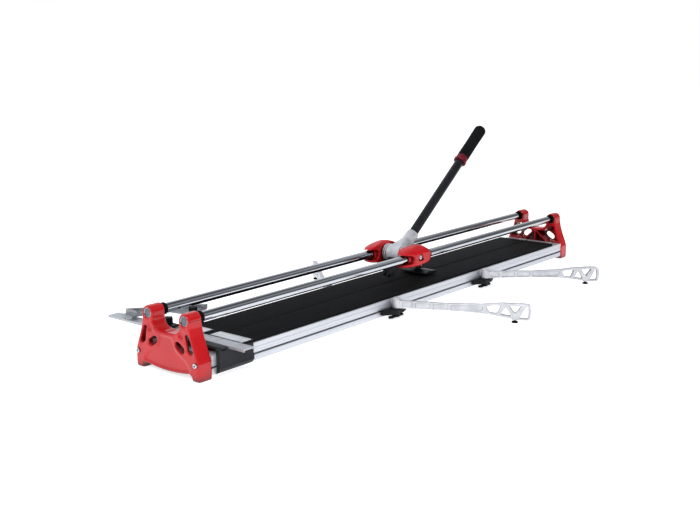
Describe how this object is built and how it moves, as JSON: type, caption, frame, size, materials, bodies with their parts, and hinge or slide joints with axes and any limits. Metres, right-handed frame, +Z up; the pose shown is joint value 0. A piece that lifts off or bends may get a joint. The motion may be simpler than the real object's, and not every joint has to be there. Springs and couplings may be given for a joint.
{
  "type": "manual tile cutter",
  "caption": "Long manual tile cutter with twin chromed guide rails, a red lever carriage, red cast end supports, a padded table, a lateral stop and swing-out support arms.",
  "frame": {"origin": "top of the breaking rib at mid length, on the cut line", "axes": "+X along the cut, away from the end with the lateral stop; +Z up, away from the table; +Y to the left when facing +X"},
  "size_m": [1.832, 0.8767, 0.504],
  "materials": {
    "red_paint": "glossy red paint over cast aluminium",
    "rail_chrome": "hard chromed and polished",
    "profile_aluminium": "satin anodised extrusion",
    "cast_aluminium": "blasted casting",
    "plain_steel": "ground steel",
    "bolt_chrome": "bright plated",
    "table_rubber": "matt black, fine grained",
    "grip_rubber": "matt black, knurled",
    "black_plastic": "moulded, fine texture",
    "black_paint": "satin black paint",
    "dark_red": "dark red, satin"
  },
  "bodies": {
    "base": {"near_end_support": "red_paint", "far_end_support": "red_paint", "guide_rail_right": "rail_chrome", "guide_rail_left": "rail_chrome", "side_profile_right": "profile_aluminium", "side_profile_left": "profile_aluminium", "table_deck": "profile_aluminium", "breaking_rib": "black_paint", "rubber_pad_right": "table_rubber", "rubber_pad_left": "table_rubber", "rail_buffer_near_right": "table_rubber", "support_bolt_near_right": "bolt_chrome", "rail_buffer_near_left": "table_rubber", "support_bolt_near_left": "bolt_chrome", "rail_buffer_far_right": "table_rubber", "support_bolt_far_right": "bolt_chrome", "rail_buffer_far_left": "table_rubber", "support_bolt_far_left": "bolt_chrome"},
    "carriage": {"carriage_cheek_right": "red_paint", "carriage_cheek_left": "red_paint", "rail_bushing_right": "black_plastic", "rail_bushing_left": "black_plastic", "bushing_adjuster_right": "bolt_chrome", "bushing_adjuster_left": "bolt_chrome", "thrust_washer_right": "black_plastic", "thrust_washer_left": "black_plastic", "pivot_shaft": "plain_steel"},
    "lever": {"handle_head": "cast_aluminium", "handle_tube": "black_paint", "socket_screw": "plain_steel", "grip_ring": "dark_red", "handle_grip": "grip_rubber", "jaw_bracket": "black_paint", "wheel_axle": "plain_steel", "breaker_pin": "plain_steel"},
    "scoring_wheel": {"scoring_wheel": "plain_steel"},
    "breaker_foot": {"breaker_foot": "black_paint"},
    "lateral_stop": {"stop_beam": "black_plastic", "scale_plate_right": "profile_aluminium", "scale_plate_left": "profile_aluminium"},
    "stop_lock_knob": {"stop_lock_knob": "black_plastic"},
    "fence_bar": {"fence_bar": "profile_aluminium"},
    "set_square": {"set_square": "cast_aluminium"},
    "square_knob": {"square_knob": "black_plastic"},
    "bracket_near_right": {"arm_bracket_near_right": "black_plastic"},
    "knob_near_right": {"arm_knob_near_right": "black_plastic"},
    "arm_near_right": {"support_arm_near_right": "cast_aluminium"},
    "foot_near_right": {"arm_foot_near_right": "grip_rubber"},
    "bracket_far_right": {"arm_bracket_far_right": "black_plastic"},
    "knob_far_right": {"arm_knob_far_right": "black_plastic"},
    "arm_far_right": {"support_arm_far_right": "cast_aluminium"},
    "foot_far_right": {"arm_foot_far_right": "grip_rubber"},
    "bracket_near_left": {"arm_bracket_near_left": "black_plastic"},
    "knob_near_left": {"arm_knob_near_left": "black_plastic"},
    "arm_near_left": {"support_arm_near_left": "cast_aluminium"},
    "foot_near_left": {"arm_foot_near_left": "grip_rubber"},
    "bracket_far_left": {"arm_bracket_far_left": "black_plastic"},
    "knob_far_left": {"arm_knob_far_left": "black_plastic"},
    "arm_far_left": {"support_arm_far_left": "cast_aluminium"},
    "foot_far_left": {"arm_foot_far_left": "grip_rubber"}
  },
  "joints": [
    {"name": "carriage_slide", "type": "slide", "parent": "base", "child": "carriage", "axis": [1, 0, 0], "range_m": [-0.65, 0.7]},
    {"name": "lever_lift", "type": "hinge", "parent": "carriage", "child": "lever", "pos_m": [0.015, 0, 0.082], "axis": [0, -1, 0], "range_deg": [0, 75]},
    {"name": "wheel_spin", "type": "hinge", "parent": "lever", "child": "scoring_wheel", "pos_m": [-0.025, 0, 0.023], "axis": [0, 1, 0], "continuous": true},
    {"name": "breaker_rock", "type": "hinge", "parent": "lever", "child": "breaker_foot", "pos_m": [0.128, 0, 0.026], "axis": [0, 1, 0], "range_deg": [-1.8, 1.8]},
    {"name": "stop_slide", "type": "slide", "parent": "base", "child": "lateral_stop", "axis": [1, 0, 0], "range_m": [-0.009, 0.12]},
    {"name": "stop_lock_turn", "type": "hinge", "parent": "lateral_stop", "child": "stop_lock_knob", "pos_m": [-0.807, 0.11, 0.025], "axis": [0, 0, 1], "range_deg": [-120, 120]},
    {"name": "fence_slide", "type": "slide", "parent": "lateral_stop", "child": "fence_bar", "axis": [0, 1, 0], "range_m": [-0.07, 0.06]},
    {"name": "square_swivel", "type": "hinge", "parent": "fence_bar", "child": "set_square", "pos_m": [-0.807, 0.255, 0.0115], "axis": [0, 0, 1], "range_deg": [-20, 42]},
    {"name": "fin_knob_turn", "type": "hinge", "parent": "set_square", "child": "square_knob", "pos_m": [-0.676, 0.161, 0.023], "axis": [0, 0, 1], "range_deg": [-120, 120]},
    {"name": "bracket_slide_near_right", "type": "slide", "parent": "base", "child": "bracket_near_right", "axis": [1, 0, 0], "range_m": [-0.4, 0.19]},
    {"name": "arm_swing_near_right", "type": "hinge", "parent": "bracket_near_right", "child": "arm_near_right", "pos_m": [-0.158, -0.128, -0.02], "axis": [0, 0, 1], "range_deg": [-30, 54]},
    {"name": "foot_height_near_right", "type": "slide", "parent": "arm_near_right", "child": "foot_near_right", "axis": [0, 0, 1], "range_m": [-0.01, 0.003]},
    {"name": "knob_turn_near_right", "type": "hinge", "parent": "bracket_near_right", "child": "knob_near_right", "pos_m": [-0.158, -0.126, -0.055], "axis": [0, 0, 1], "range_deg": [-90, 90]},
    {"name": "bracket_slide_far_right", "type": "slide", "parent": "base", "child": "bracket_far_right", "axis": [1, 0, 0], "range_m": [-0.1, 0.38]},
    {"name": "arm_swing_far_right", "type": "hinge", "parent": "bracket_far_right", "child": "arm_far_right", "pos_m": [0.322, -0.128, -0.02], "axis": [0, 0, 1], "range_deg": [-46.5, 37.5]},
    {"name": "foot_height_far_right", "type": "slide", "parent": "arm_far_right", "child": "foot_far_right", "axis": [0, 0, 1], "range_m": [-0.01, 0.003]},
    {"name": "knob_turn_far_right", "type": "hinge", "parent": "bracket_far_right", "child": "knob_far_right", "pos_m": [0.322, -0.126, -0.055], "axis": [0, 0, 1], "range_deg": [-90, 90]},
    {"name": "bracket_slide_near_left", "type": "slide", "parent": "base", "child": "bracket_near_left", "axis": [1, 0, 0], "range_m": [-0.4, 0.19]},
    {"name": "arm_swing_near_left", "type": "hinge", "parent": "bracket_near_left", "child": "arm_near_left", "pos_m": [-0.158, 0.128, -0.02], "axis": [0, 0, 1], "range_deg": [-41.5, 42.5]},
    {"name": "foot_height_near_left", "type": "slide", "parent": "arm_near_left", "child": "foot_near_left", "axis": [0, 0, 1], "range_m": [-0.01, 0.003]},
    {"name": "knob_turn_near_left", "type": "hinge", "parent": "bracket_near_left", "child": "knob_near_left", "pos_m": [-0.158, 0.126, -0.055], "axis": [0, 0, 1], "range_deg": [-90, 90]},
    {"name": "bracket_slide_far_left", "type": "slide", "parent": "base", "child": "bracket_far_left", "axis": [1, 0, 0], "range_m": [-0.1, 0.38]},
    {"name": "arm_swing_far_left", "type": "hinge", "parent": "bracket_far_left", "child": "arm_far_left", "pos_m": [0.322, 0.128, -0.02], "axis": [0, 0, 1], "range_deg": [-29.5, 54.5]},
    {"name": "foot_height_far_left", "type": "slide", "parent": "arm_far_left", "child": "foot_far_left", "axis": [0, 0, 1], "range_m": [-0.01, 0.003]},
    {"name": "knob_turn_far_left", "type": "hinge", "parent": "bracket_far_left", "child": "knob_far_left", "pos_m": [0.322, 0.126, -0.055], "axis": [0, 0, 1], "range_deg": [-90, 90]}
  ]
}
